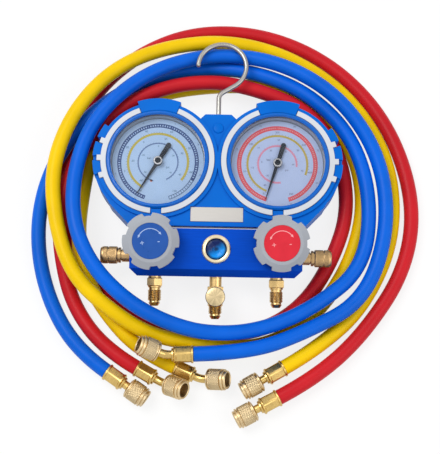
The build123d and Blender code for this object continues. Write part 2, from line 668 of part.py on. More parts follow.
# Each end: its hose's last point, the point beside it and the bend's direction, 0 to the left, 90 up.
hose_ends = (("blue_1", blue_route[0], blue_route[1], None), ("blue_2", blue_route[-1], blue_route[-2], 130.0),
             ("red_1", red_route[0], red_route[1], 75.0), ("red_2", red_route[-1], red_route[-2], None),
             ("yellow_1", yellow_route[0], yellow_route[1], 50.0),
             ("yellow_2", yellow_route[-1], yellow_route[-2], None))


# ------------------------------------------------------------------ the set
def build():
    save("gauge_housing", gauge_housing())
    save("rear_cover", rear_cover())
    save("rear_screws", rear_screws())
    save("front_plate", slab(-plate_w / 2, plate_w / 2, plate_y - plate_h / 2, plate_y + plate_h / 2,
                             web_z - plate_t, web_z + 0.4))
    save("hook", hook())
    save("manifold_block", manifold_block())
    save("sight_ring", block * sight_ring())
    save("sight_lens", block * sight_lens())
    save("centre_tee", block * bottom_port_place(0) * centre_tee())
    save("centre_cap", block * bottom_port_place(0) * centre_cap())
    for name, side in sides:
        middle = Pos(side * gauge_pitch / 2, 0, 0)
        save(f"guard_ring_{name}", guard_ring(side))
        save(f"gauge_case_{name}", middle * gauge_case())
        save(f"bezel_{name}", middle * bezel())
        save(f"gauge_lens_{name}", middle * gauge_lens())
        save(f"dial_{name}", middle * dial())
        save(f"gauge_socket_{name}", middle * gauge_socket())
        save(f"bourdon_tube_{name}", middle * bourdon_tube())
        save(f"sector_gear_{name}", middle * sector_gear())
        save(f"pinion_{name}", middle * pinion())
        save(f"pointer_{name}", middle * pointer(left_zero if side < 0 else right_zero))
        valve = block * Pos(side * valve_x, valve_y, 0)
        turn = left_knob_turn if side < 0 else right_knob_turn
        save(f"knob_{name}", valve * knob(turn))
        save(f"knob_label_{name}", valve * knob_label(turn))
        save(f"valve_stem_{name}", valve * valve_stem())
        save(f"valve_bonnet_{name}", valve * valve_bonnet())
        save(f"bottom_port_{name}", block * bottom_port_place(side * port_x) * bottom_port())
        save(f"side_port_{name}", block * side_port_place(side) * side_port())
        save(f"side_cap_{name}", block * side_port_place(side) * side_cap())
    save("hose_blue", hose("hose_blue", blue_route))
    save("hose_red", hose("hose_red", red_route))
    save("hose_yellow", hose("hose_yellow", yellow_route))
    for name, end, beside, bend in hose_ends:
        place = end_frame(end, beside)
        save(f"ferrule_{name}", place * ferrule(bend))
        save(f"hose_nut_{name}", place * nut_place(bend) * hose_nut())


build()
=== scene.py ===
import bpy
import bmesh
from math import cos, pi, radians, sin
from mathutils import Matrix, Vector


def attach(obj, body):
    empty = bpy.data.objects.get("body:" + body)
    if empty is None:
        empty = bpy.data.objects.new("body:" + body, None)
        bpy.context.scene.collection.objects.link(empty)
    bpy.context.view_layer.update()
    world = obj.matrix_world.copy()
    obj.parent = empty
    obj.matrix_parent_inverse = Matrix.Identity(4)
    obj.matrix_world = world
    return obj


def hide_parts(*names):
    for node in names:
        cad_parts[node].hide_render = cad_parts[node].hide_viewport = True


bl_info = {
    "name": "Manifold gauge set",
    "version": (1, 0, 0),
    "blender": (4, 5, 0),
    "location": "3D View > Sidebar > Gauge set",
    "description": "Dresses a refrigerant manifold with gauges, valves and charging hoses",
    "category": "Object",
}

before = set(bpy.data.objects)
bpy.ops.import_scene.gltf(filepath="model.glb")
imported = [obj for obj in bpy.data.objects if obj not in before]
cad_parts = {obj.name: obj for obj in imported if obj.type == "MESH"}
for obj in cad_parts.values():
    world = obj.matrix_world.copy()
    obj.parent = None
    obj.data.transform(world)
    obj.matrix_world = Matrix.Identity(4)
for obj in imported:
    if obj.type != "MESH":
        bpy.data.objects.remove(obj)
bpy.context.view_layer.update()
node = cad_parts
MM = 0.001
SIDES = (("left", -1), ("right", 1))

# ---------------------------------------------------------------- places, in millimetres
BLOCK_MID = Vector((0.0, -76.5, 40.5))
BLOCK_TILT = radians(12.0)
GAUGE_X = 50.0
DIAL_TOP = 30.0
HUB_TOP = 35.2
WEB_TOP = 36.6
HOOK_HEAD_Y = 28.65    # middle of the hook's head
VALVE_X, VALVE_Y = 52.0, 5.0
LABEL_TOP = 21.5
LABEL_TURN = {"left": 9.0, "right": 7.0}    # degrees of a knob's label about its stem
ARROW_R, ARROW_FROM, ARROW_TO = 9.8, 145, 35
INK = DIAL_TOP + 0.01
SECOND_INK = INK + 0.06

BLUE_ROUTE = [
    (-87.3, -173, 9), (-113, -155.8, 9), (-140, -112.1, 6.4), (-151.7, -62.5, 9.4), (-146, -16, 17.8),
    (-126.1, 25.9, 19.7), (-98.3, 58, 17.7), (-60.6, 85, 9), (-16.3, 95.7, 8.5), (32, 88.7, 17.4),
    (78.8, 67.8, 20), (115.5, 28.4, 19.6), (130, -26.1, 19.6), (123, -84.5, 15.9), (80.3, -120, 22.1),
    (38.3, -138.9, 21.3), (-3.8, -144.3, 30.2), (-39.2, -135.9, 32.2), (-72.6, -118, 32.2),
    (-101.5, -90.1, 37), (-118.3, -52.9, 37), (-119.6, -8.9, 32.2), (-107.4, 33.1, 32.2), (-78.7, 67.5, 31),
    (-42.9, 92, 25), (5, 102.9, 23), (58.3, 92, 27.2), (105.7, 61, 27.1), (138.3, 9.7, 22.9),
    (143.6, -52.5, 20.7), (122.9, -112.2, 18.3), (73.2, -140.1, 20.3), (27.4, -157.8, 24.8),
    (-16.5, -159.6, 24.8)]
RED_ROUTE = [
    (-63, -169.7, 9), (-90.1, -154.6, 9), (-118.3, -118.6, 6.4), (-130, -77.9, 9.5), (-132, -41, 21.1),
    (-120.4, 8.5, 19.3), (-88.7, 49.7, 19.3), (-50.9, 71.1, 19.3), (-7.4, 78.9, 19.3), (34.3, 71.3, 18.8),
    (78, 53.8, 15.6), (105.4, 18.7, 8.1), (112.5, -31.9, 6.6), (98.1, -76.6, 6.4), (73.1, -116.1, 6.4),
    (36.8, -138.7, 6.4), (-11.2, -141.2, 6.4), (-48.4, -131.6, 6.4), (-83.6, -111.8, 6.4),
    (-112.7, -79.6, 6.4), (-130.1, -37.5, 6.4), (-131.2, 15.6, 6.4), (-112.2, 68.1, 6.4),
    (-72.8, 108.3, 6.4), (-20.8, 131.3, 6.4), (43.2, 129, 6.4), (103, 99.8, 6.4), (147.8, 47.8, 6.4),
    (169, -21.8, 6.4), (159.9, -82.9, 6.4), (123.3, -138.2, 6.4), (82.9, -175.3, 9), (52.9, -191.5, 9)]
YELLOW_ROUTE = [
    (-31.9, -168.5, 9), (-60.3, -156, 9), (-89, -126.9, 12), (-108.8, -94.9, 18.9), (-115.6, -60.7, 19.6),
    (-114.5, -19.2, 8), (-108.7, 21.5, 6.4), (-87.2, 54.1, 6.4), (-51.5, 71.6, 6.4), (-4.3, 79.6, 6.4),
    (40.4, 79.4, 6.4), (83.3, 62.9, 6.4), (115.6, 27.4, 6.4), (126.7, -22.9, 6.4), (116.1, -71.8, 6.4),
    (93.3, -111.3, 6.4), (63.9, -139.9, 6.8), (26.5, -153.4, 8.2), (-15.6, -150.1, 16.7), (-53, -143.8, 17),
    (-85.4, -125.3, 26.8), (-116.5, -98.2, 30.6), (-133, -54.4, 32.2), (-138.6, -5.6, 32.2),
    (-123.3, 43.6, 31.7), (-92.2, 85.4, 26), (-48.2, 109.9, 19.3), (9.8, 116.9, 19.3), (67.1, 103.1, 13),
    (117.8, 67.9, 6.4), (149.1, 11.1, 6.4), (150.9, -55.8, 6.4), (123.2, -116.3, 6.4), (82.3, -152.8, 9),
    (57.2, -167.4, 9)]
ROUTES = {"blue": BLUE_ROUTE, "red": RED_ROUTE, "yellow": YELLOW_ROUTE}
# A bend is the direction of a hose end's elbow: 0 to the left of the way out, 90 up.
BENDS = {"blue_1": None, "blue_2": 130.0, "red_1": 75.0, "red_2": None, "yellow_1": 50.0, "yellow_2": None}
TAIL_R, NUT_FROM = 3.4, 22.0
ELBOW_R, ELBOW_TURN, ELBOW_FROM, ELBOW_TO_NUT = 14.0, radians(30.0), 19.0, 3.0
FERRULE_STEPS, HEX_STEPS, CRIMP_FLATS = 60, 36, 12.5
THREAD_STEP, CAP_STEP, NUT_STEP = 0.16, 0.45, 0.3    # between the rows that a relief is cut into

# ---------------------------------------------------------------- stage, in metres
FLOOR_SIZE, FLOOR_DROP = 8.0, 0.0005
LAMPS = (("key_lamp", (-0.9, 0.5, 1.9), 1.1, 20), ("side_lamp", (1.3, -0.6, 1.5), 1.2, 7))
LAMP_AIM = (0, -0.03, 0.02)
CAMERA_RIGHT, CAMERA_UP = (0.99983, 0.01695, 0.00747), (-0.01829, 0.96731, 0.25294)
CAMERA_SPOT = (0.46, -261.2, 817.6)    # millimetres


# ---------------------------------------------------------------- frames
def frame_of(origin, x_axis, z_axis):
    """Matrix in metres from an origin in millimetres and two axes."""
    z_axis = Vector(z_axis).normalized()
    x_axis = Vector(x_axis).normalized()
    y_axis = z_axis.cross(x_axis)
    turn = Matrix((x_axis, y_axis, z_axis)).transposed().to_4x4()
    return Matrix.Translation(Vector(origin) * MM) @ turn


def shift(x, y, z):
    """A move in millimetres."""
    return Matrix.Translation((x * MM, y * MM, z * MM))


def polar(radius, angle, height):
    """A point in metres from a radius and a height in millimetres and an angle about Z."""
    return radius * MM * cos(angle), radius * MM * sin(angle), height * MM


UP_SLOPE = Vector((0, cos(BLOCK_TILT), sin(BLOCK_TILT)))
FACE = Vector((0, -sin(BLOCK_TILT), cos(BLOCK_TILT)))


def on_block(x, up, out):
    return BLOCK_MID + Vector((x, 0, 0)) + UP_SLOPE * up + FACE * out


def bottom_port_frame(x):
    return frame_of(on_block(x, -22.5, -15), (1, 0, 0), -UP_SLOPE)


def side_port_frame(side):
    return frame_of(on_block(side * 70.0, -6, -15), UP_SLOPE, (side, 0, 0))


def valve_frame(side):
    return frame_of(on_block(side * VALVE_X, VALVE_Y, 0), (1, 0, 0), FACE)


def elbow_middle(angle):
    """Move from a hose's end to the middle of its elbow's pipe, some way round the bend."""
    return Matrix.Translation(Vector((ELBOW_R * (1 - cos(angle)), 0, ELBOW_FROM + ELBOW_R * sin(angle))) * MM)


def end_frames(name):
    """Frames of a hose end and of the back of its nut."""
    colour, which = name.split("_")
    end, beside = ROUTES[colour][:2] if which == "1" else ROUTES[colour][:-3:-1]
    bend = BENDS[name]
    out = (Vector(end) - Vector(beside)).normalized()
    level = Vector((0, 0, 1)).cross(out).normalized()
    start = frame_of(end, level, out)
    if bend is None:
        return start, start @ shift(0, 0, NUT_FROM)
    turn = Matrix.Rotation(radians(bend), 4, "Z")
    tilt = Matrix.Rotation(ELBOW_TURN, 4, "Y")
    return start, start @ turn @ elbow_middle(ELBOW_TURN) @ tilt @ shift(0, 0, ELBOW_TO_NUT)


# ---------------------------------------------------------------- shader and node maths
class Wire:
    """A socket that node trees are written with, as in ordinary sums."""

    def __init__(self, tree, socket):
        self.tree, self.socket = tree, socket

    def sum(self, operation, *others):
        values = dict(enumerate((self, *others)))
        return add_node(self.tree, "ShaderNodeMath", {"operation": operation}, values)

    def __add__(self, other):
        return self.sum("ADD", other)

    def __sub__(self, other):
        return self.sum("SUBTRACT", other)

    def __rsub__(self, other):
        return self.sum("MULTIPLY_ADD", -1.0, other)

    def __mul__(self, other):
        return self.sum("MULTIPLY", other)

    def __truediv__(self, other):
        return self.sum("DIVIDE", other)

    __radd__ = __add__
    __rmul__ = __mul__


def add_node(tree, kind, settings=None, values=None, output=0):
    """Adds a node: its settings first, then the values or links of its sockets. Gives one output, if any."""
    made = tree.nodes.new(kind)
    for key, value in (settings or {}).items():
        if key == "stops":
            ramp = made.color_ramp
            while len(ramp.elements) < len(value):
                ramp.elements.new(0.5)
            for element, (place, colour) in zip(ramp.elements, value):
                element.position = place
                element.color = (*colour, 1.0)
        else:
            setattr(made, key, value)
    for key, value in (values or {}).items():
        if isinstance(value, Wire):
            tree.links.new(value.socket, made.inputs[key])
        else:
            made.inputs[key].default_value = value
    return None if output is None else Wire(tree, made.outputs[output])


def about_z(tree, spot):
    """The part of a place that lies square to Z, and its length."""
    flat = add_node(tree, "ShaderNodeVectorMath", {"operation": "MULTIPLY"}, {0: spot, 1: (1, 1, 0)})
    return flat, add_node(tree, "ShaderNodeVectorMath", {"operation": "LENGTH"}, {0: flat}, output="Value")


class Finish:
    """A material with one Principled shader and the parts that most finishes share."""

    def __init__(self, name, colour, roughness, metallic=0.0, gloss=0.5):
        self.material = bpy.data.materials.new(name)
        self.material.use_nodes = True
        self.tree = self.material.node_tree
        self.shader = self.tree.nodes["Principled BSDF"]
        self.colour = (*colour, 1.0)
        self.shader.inputs["Base Color"].default_value = self.colour
        self.shader.inputs["Roughness"].default_value = roughness
        self.shader.inputs["Metallic"].default_value = metallic
        self.shader.inputs["Specular IOR Level"].default_value = gloss
        self.material.diffuse_color = self.colour

    def node(self, kind, settings=None, values=None, output=0):
        return add_node(self.tree, kind, settings, values, output)

    def place(self, centre=(0, 0, 0), turn=(0, 0, 0), scale=(1, 1, 1)):
        spot = self.node("ShaderNodeTexCoord", output="Object")
        if centre == (0, 0, 0) and turn == (0, 0, 0) and scale == (1, 1, 1):
            return spot
        moved = self.node("ShaderNodeVectorMath", {"operation": "SUBTRACT"}, {0: spot, 1: centre})
        return self.node("ShaderNodeMapping", {"vector_type": "TEXTURE"},
                         {"Vector": moved, "Rotation": turn, "Scale": scale})

    def noise(self, scale, detail=2.0, roughness=0.5, where=None, distortion=0.0):
        where = where or self.place()
        return self.node("ShaderNodeTexNoise", None, {"Vector": where, "Scale": scale, "Detail": detail,
                                                     "Roughness": roughness, "Distortion": distortion})

    def band(self, value, low, high, to_low=0.0, to_high=1.0):
        return self.node("ShaderNodeMapRange", {"clamp": True}, {
            "Value": value, "From Min": low, "From Max": high, "To Min": to_low, "To Max": to_high})

    def mix(self, amount, first, second):
        made = self.tree.nodes.new("ShaderNodeMix")
        made.data_type = "RGBA"
        for socket, value in ((made.inputs[0], amount), (made.inputs[6], first), (made.inputs[7], second)):
            if isinstance(value, Wire):
                self.tree.links.new(value.socket, socket)
            else:
                socket.default_value = value
        return Wire(self.tree, made.outputs[2])

    def feed(self, name, value):
        self.tree.links.new(value.socket, self.shader.inputs[name])

    def shade(self, value, spread):
        """Base colour that goes darker and lighter by the same spread."""
        dark, light = self.tone(1 - spread), self.tone(1 + spread)
        self.feed("Base Color", self.mix(self.band(value, 0.3, 0.7), dark, light))

    def rough(self, value, low, high, to_low, to_high):
        self.feed("Roughness", self.band(value, low, high, to_low, to_high))

    def bump(self, height, distance, strength=1.0):
        self.feed("Normal", self.node("ShaderNodeBump", None,
                                      {"Strength": strength, "Distance": distance, "Height": height}))

    def tone(self, factor):
        return tuple(min(1.0, c * factor) for c in self.colour[:3]) + (1.0,)


def moulded(name, colour, roughness=0.42, grain=0.00006, coat=0.0, spread=0.10, gloss=0.07):
    """Injection-moulded plastic: fine spark grain, faint clouding and handling gloss."""
    made = Finish(name, colour, roughness, gloss=gloss)
    cloud = made.noise(28.0, 3.0)
    speck = made.noise(900.0, 2.0, 0.6)
    made.shade(cloud, spread)
    made.rough(cloud + speck * 0.5, 0.5, 1.0, roughness - 0.07, roughness + 0.09)
    made.bump(speck, grain, 0.5)
    if coat:
        made.shader.inputs["Coat Weight"].default_value = coat
        made.shader.inputs["Coat Roughness"].default_value = 0.15
    return made.material


def brushed(name, colour, roughness, along=(1, 0, 0), metallic=1.0, depth=0.00002, contrast=0.18, gloss=0.5):
    """Metal or anodised metal with straight brushing along one axis."""
    made = Finish(name, colour, roughness, metallic, gloss)
    squeeze = tuple(0.02 if a == 0 else 1.0 for a in along)
    lines = made.noise(60.0, 4.0, 0.65, made.place(scale=squeeze))
    cloud = made.noise(22.0, 2.0)
    made.shade(lines, contrast)
    made.rough(lines * 0.6 + cloud * 0.4, 0.3, 0.7, roughness - 0.08, roughness + 0.1)
    made.bump(lines, depth, 0.6)
    return made.material


def turned_brass(name, place, colour, roughness=0.27, tarnish=0.25, spun=0.0):
    """Lathe-turned metal: tool rings round a place's Z, clouded tarnish, streaks on a spun face, and painted
    shade in the grooves of a cut relief.
    """
    made = Finish(name, colour, roughness, 1.0)
    local = made.place(tuple(place.to_translation()), tuple(place.to_euler("XYZ")))
    along = made.node("ShaderNodeSeparateXYZ", None, {0: local}, output=2)
    flat, radius = about_z(made.tree, local)
    across = made.node("ShaderNodeCombineXYZ", None, {0: along, 1: radius})
    rings = made.node("ShaderNodeTexNoise", {"noise_dimensions": "2D"},
                      {"Vector": across, "Scale": 2600.0, "Detail": 3.0})
    cloud = made.noise(70.0, 3.0, 0.6)
    shade = made.band(rings * 0.5 + cloud * 0.5, 0.35, 0.65)
    if spun:
        spoke = made.node("ShaderNodeVectorMath", {"operation": "NORMALIZE"}, {0: flat})
        shade = shade * (1 - spun) + made.band(made.noise(2.4, 2.0, 0.6, spoke), 0.38, 0.62) * spun
    # Painted shade: the grooves of a thread or knurl are darkened to 40 % of the colour, as if shaded.
    groove = made.node("ShaderNodeAttribute", {"attribute_name": "groove"}, output="Fac")
    clean = made.mix(shade, made.tone(1 - tarnish), made.tone(1 + 0.12))
    made.feed("Base Color", made.mix(groove * 0.5, clean, made.tone(0.40)))
    made.rough(cloud, 0.3, 0.7, roughness - 0.06, roughness + 0.14)
    made.bump(rings, 0.00003, 0.5)
    return made.material


def hose_rubber(name, colour, roughness=0.36):
    """Smooth hose cover: tiny pits and soft dirt clouding."""
    made = Finish(name, colour, roughness, gloss=0.14)
    cloud = made.noise(16.0, 3.0, 0.55)
    pits = made.noise(1100.0, 2.0, 0.7)
    dirt = made.band(cloud, 0.34, 0.66)
    made.feed("Base Color", made.mix(dirt, made.tone(0.86), made.tone(1.08)))
    made.rough(cloud + pits * 0.4, 0.45, 0.95, roughness - 0.06, roughness + 0.12)
    made.bump(pits + cloud * 3.0, 0.00005, 0.35)
    return made.material


def printed(name, colour, roughness=0.5, blotch=0.05, gloss=0.2):
    """Ink or enamel: nearly flat, with the slight unevenness of print."""
    made = Finish(name, colour, roughness, gloss=gloss)
    patch = made.noise(90.0, 3.0)
    made.shade(patch, blotch)
    made.rough(patch, 0.3, 0.7, roughness - 0.05, roughness + 0.08)
    return made.material


def clear_lens(name):
    """Thin acrylic lens: mostly see-through, with faint haze marks."""
    made = Finish(name, (0.70, 0.80, 0.95), 0.04)
    haze = made.noise(55.0, 4.0, 0.7)
    made.feed("Alpha", made.band(haze, 0.35, 0.75, 0.02, 0.05))
    made.rough(haze, 0.3, 0.7, 0.20, 0.30)
    made.material.surface_render_method = "BLENDED"
    return made.material


def sight_glass():
    """Deep blue glass with painted light: a painted highlight to one side, and painted shade on the other
    side, at the rim and in the middle.
    """
    made = Finish("sight_blue_glass", (0.0, 0.16, 0.62), 0.3, gloss=0.16)
    centre = tuple(on_block(0, 0, 0) * MM)
    local = made.place(centre=centre, turn=(BLOCK_TILT, 0, 0))
    radius = about_z(made.tree, local)[1]
    across = made.node("ShaderNodeSeparateXYZ", None, {0: local}, output=0)
    upward = made.node("ShaderNodeSeparateXYZ", None, {0: local}, output=1)
    wave = made.noise(420.0, 2.0, 0.5, local, 0.6)
    # Painted light: the glass runs from painted shade at the top and left to a painted highlight at the
    # bottom and right.
    lit = made.band(across * 0.7 - upward + wave * 0.003, -0.002, 0.006)
    colour = made.mix(lit, (0.0, 0.012, 0.10, 1), (0.0, 0.28, 0.85, 1))
    # Painted shade: the middle of the glass is darkened, as if shaded in its cavity.
    core_shade = made.band(radius + wave * 0.002, 0.0018, 0.0034, 1.0, 0.0)
    colour = made.mix(core_shade * 0.85, colour, (0.0, 0.01, 0.05, 1))
    # Painted shade: the rim of the glass is darkened, as if in the ring's shadow.
    rim_shade = made.band(radius, 0.0062, 0.0078)
    made.feed("Base Color", made.mix(rim_shade * 0.8, colour, (0.0, 0.01, 0.06, 1)))
    made.shader.inputs["Coat Weight"].default_value = 0.1
    made.bump(wave, 0.0004, 0.5)
    return made.material


# ---------------------------------------------------------------- meshes
def ring(work, radius, height, steps, flats=None):
    """A ring of vertices about Z, cut down to a hexagon where its width over flats is given."""
    row = []
    for k in range(steps):
        angle = 2 * pi * k / steps
        off_flat = (angle + pi / 6) % (pi / 3) - pi / 6
        reach = radius if flats is None else min(radius, flats / 2 / cos(off_flat))
        row.append(work.verts.new(polar(reach, angle, height)))
    return row


def wall_in(work, rows):
    """Walls between rings of the same count, with a flat face at each end."""
    for low, high in zip(rows, rows[1:]):
        for k in range(len(low)):
            beside = (k + 1) % len(low)
            work.faces.new((low[k], low[beside], high[beside], high[k]))
    work.faces.new(list(reversed(rows[0])))
    work.faces.new(rows[-1])
    bmesh.ops.recalc_face_normals(work, faces=work.faces)
    return work


def lathe(points, steps, close=False):
    """A turned mesh about Z from (radius, height) points in millimetres."""
    work = bmesh.new()
    rows = []
    for radius, height in points:
        rows.append(ring(work, radius, height, steps if radius else 1))
    pairs = list(zip(rows, rows[1:]))
    if close:
        pairs.append((rows[-1], rows[0]))
    for low, high in pairs:
        for k in range(steps):
            corners = [low[k % len(low)], low[(k + 1) % steps % len(low)], high[(k + 1) % steps % len(high)],
                       high[k % len(high)]]
            corners = list(dict.fromkeys(corners))
            if len(corners) > 2:
                work.faces.new(corners)
    bmesh.ops.recalc_face_normals(work, faces=work.faces)
    return work


def rows_between(radius, low, high, step):
    """Profile points up a straight wall, close enough for relief."""
    count = max(2, round((high - low) / step))
    return [(radius, low + (high - low) * k / count) for k in range(count + 1)]


def hex_bar(flats, low, high, corner=0.7):
    """Hexagonal bar about Z with turned-off corners."""
    work = bmesh.new()
    reach = flats / 2 / cos(pi / 6)
    drop = corner * 0.55
    levels = ((reach - corner, low), (reach, low + drop), (reach, high - drop), (reach - corner, high))
    return wall_in(work, [ring(work, radius, height, HEX_STEPS, flats) for radius, height in levels])


def link(name, data):
    """A new object in the scene."""
    made = bpy.data.objects.new(name, data)
    bpy.context.scene.collection.objects.link(made)
    return made


def add_object(name, work, place=None):
    """Turns a bmesh into a finished object, with its place in its mesh."""
    mesh = bpy.data.meshes.new(name)
    if place is not None:
        bmesh.ops.transform(work, matrix=place, verts=work.verts)
    work.to_mesh(mesh)
    work.free()
    return link(name, mesh)


def dress(made, body, material, stands_for=(), angle=None):
    """Gives a piece its finish and body, hides the nodes it stands for, and smooths it to an angle."""
    if angle is not None:
        for face in made.data.polygons:
            face.use_smooth = True
        made.data.set_sharp_from_angle(angle=radians(angle))
    made.data.materials.clear()
    made.data.materials.append(material)
    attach(made, body)
    if stands_for:
        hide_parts(*stands_for)
    return made


def finish_node(name, material):
    """Gives a carried-over node its finish."""
    made = node[name]
    if made.material_slots:
        for slot in made.material_slots:
            slot.material = material
    else:
        made.data.materials.append(material)
    return made


# ---------------------------------------------------------------- relief by geometry nodes
def relief_tree(name, material):
    """Cuts a thread or a knurl into a turned wall about Z."""
    tree = bpy.data.node_groups.new(name, "GeometryNodeTree")
    sockets = {}
    tree.interface.new_socket("Geometry", in_out="INPUT", socket_type="NodeSocketGeometry")
    for label, default in (("Starts", 1.0), ("Lead", 0.00127), ("Depth", 0.0004), ("Low", 0.0), ("High", 1.0),
                           ("Inner radius", 0.0), ("Crossed", 0.0)):
        item = tree.interface.new_socket(label, in_out="INPUT", socket_type="NodeSocketFloat")
        item.default_value = default
        sockets[label] = item.identifier
    tree.interface.new_socket("Geometry", in_out="OUTPUT", socket_type="NodeSocketGeometry")
    entry = tree.nodes.new("NodeGroupInput")
    value = {item.name: Wire(tree, entry.outputs[item.name]) for item in tree.interface.items_tree
             if item.in_out == "INPUT"}
    spot = add_node(tree, "GeometryNodeInputPosition")
    x, y, z = (add_node(tree, "ShaderNodeSeparateXYZ", None, {0: spot}, output=k) for k in range(3))
    flat, radius = about_z(tree, spot)
    outward = add_node(tree, "ShaderNodeVectorMath", {"operation": "NORMALIZE"}, {0: flat})
    around = y.sum("ARCTAN2", x) * (1 / (2 * pi)) * value["Starts"]
    climb = z / value["Lead"]
    up, down = ((phase.sum("FRACT") * 2.0 - 1.0).sum("ABSOLUTE")
                for phase in (around + climb, around - climb))
    both = up.sum("MINIMUM", down)
    height = up * (1.0 - value["Crossed"]) + both * value["Crossed"]
    inside = z.sum("GREATER_THAN", value["Low"]) * z.sum("LESS_THAN", value["High"])
    inside = inside * radius.sum("GREATER_THAN", value["Inner radius"])
    hollow = (1.0 - height) * inside
    cut = hollow * value["Depth"] * -1.0
    offset = add_node(tree, "ShaderNodeVectorMath", {"operation": "SCALE"}, {0: outward, "Scale": cut})
    # The groove mask is kept for the brass finish, which darkens the grooves as painted shade.
    marked = add_node(tree, "GeometryNodeStoreNamedAttribute", {"data_type": "FLOAT", "domain": "POINT"},
                      {"Geometry": value["Geometry"], "Name": "groove", "Value": hollow})
    moved = add_node(tree, "GeometryNodeSetPosition", None, {"Geometry": marked, "Offset": offset})
    solid = add_node(tree, "GeometryNodeRealizeInstances", None, {"Geometry": moved})
    done = add_node(tree, "GeometryNodeSetMaterial", None, {"Geometry": solid, "Material": material})
    exit_node = tree.nodes.new("NodeGroupOutput")
    tree.links.new(done.socket, exit_node.inputs[0])
    return tree, sockets


def cut_relief(work, name, relief_name, material, place, **sizes):
    """Cuts a relief into a turned mesh and puts the result where it belongs."""
    tree, sockets = relief_tree(relief_name, material)
    raw = add_object(name + "_raw", work)
    relief = raw.modifiers.new("relief", "NODES")
    relief.node_group = tree
    for label, amount in sizes.items():
        relief[sockets[label.replace("_", " ").capitalize()]] = float(amount)
    graph = bpy.context.evaluated_depsgraph_get()
    graph.update()
    mesh = bpy.data.meshes.new_from_object(raw.evaluated_get(graph))
    mesh.name = name
    mesh.transform(place)
    bpy.data.objects.remove(raw)
    return link(name, mesh)


# ---------------------------------------------------------------- flat print
def arc_band(work, inner, outer, start, stop, height, thick=0.05, step=3.0):
    """A closed thin band on a dial between two angles, in degrees, going clockwise from start to stop."""
    count = max(1, round(abs(start - stop) / step))
    rows = []
    for k in range(count + 1):
        angle = radians(start + (stop - start) * k / count)
        rows.append([work.verts.new(polar(radius, angle, level))
                     for radius in (inner, outer) for level in (height, height + thick)])
    for (a, b, c, d), (e, f, g, h) in zip(rows, rows[1:]):
        work.faces.new((b, d, h, f))
        work.faces.new((a, e, g, c))
        work.faces.new((a, b, f, e))
        work.faces.new((c, g, h, d))
    a, b, c, d = rows[0]
    work.faces.new((a, c, d, b))
    a, b, c, d = rows[-1]
    work.faces.new((a, b, d, c))


def flat_mark(work, corners, angle, height, thick=0.05):
    """A closed thin mark with the given corners, turned about Z."""
    turn = Matrix.Rotation(radians(angle), 4, "Z")
    low, high = ([work.verts.new(turn @ Vector((x * MM, y * MM, level * MM))) for x, y in corners]
                 for level in (height, height + thick))
    work.faces.new(high)
    work.faces.new(list(reversed(low)))
    for k in range(len(corners)):
        beside = (k + 1) % len(corners)
        work.faces.new((low[k], low[beside], high[beside], high[k]))


def tick(work, inner, outer, angle, width, height):
    """A closed thin mark along a radius."""
    half = width / 2
    flat_mark(work, ((inner, -half), (outer, -half), (outer, half), (inner, half)), angle, height)


def ticks_round(work, inner, outer, start, sweep, parts, width, height, every=0, other=0.0):
    """Ticks at equal steps of a sweep, one at each end; every so many may have another width."""
    for k in range(parts + 1):
        wide = other if every and k % every == 0 else width
        tick(work, inner, outer, start + sweep * k / parts, wide, height)


def dot(work, x, y, radius, height):
    """A disc that is a layer of its own."""
    arc_band(work, 0.0001, radius, 0, 360, height, step=30)
    bmesh.ops.transform(work, matrix=shift(x, y, 0), verts=work.verts)


def number(work, text, x, y, size, height):
    """A dial number as thin raised print."""
    curve = bpy.data.curves.new("number", "FONT")
    curve.body = text
    curve.size = size * MM
    curve.align_x = "CENTER"
    curve.align_y = "CENTER"
    curve.extrude = 0.02 * MM
    curve.resolution_u = 3
    made = link("number", curve)
    graph = bpy.context.evaluated_depsgraph_get()
    mesh = bpy.data.meshes.new_from_object(made.evaluated_get(graph))
    mesh.transform(shift(x, y, height + 0.03))
    work.from_mesh(mesh)
    bpy.data.objects.remove(made)
    bpy.data.curves.remove(curve)
    bpy.data.meshes.remove(mesh)


def numbers_round(work, texts, radius, start, stop, size, height):
    """Numbers at equal steps round a dial, from a text with spaces between them."""
    texts = texts.split()
    for k, text in enumerate(texts):
        angle = radians(start + (stop - start) * k / (len(texts) - 1))
        number(work, text, radius * cos(angle), radius * sin(angle), size, height)


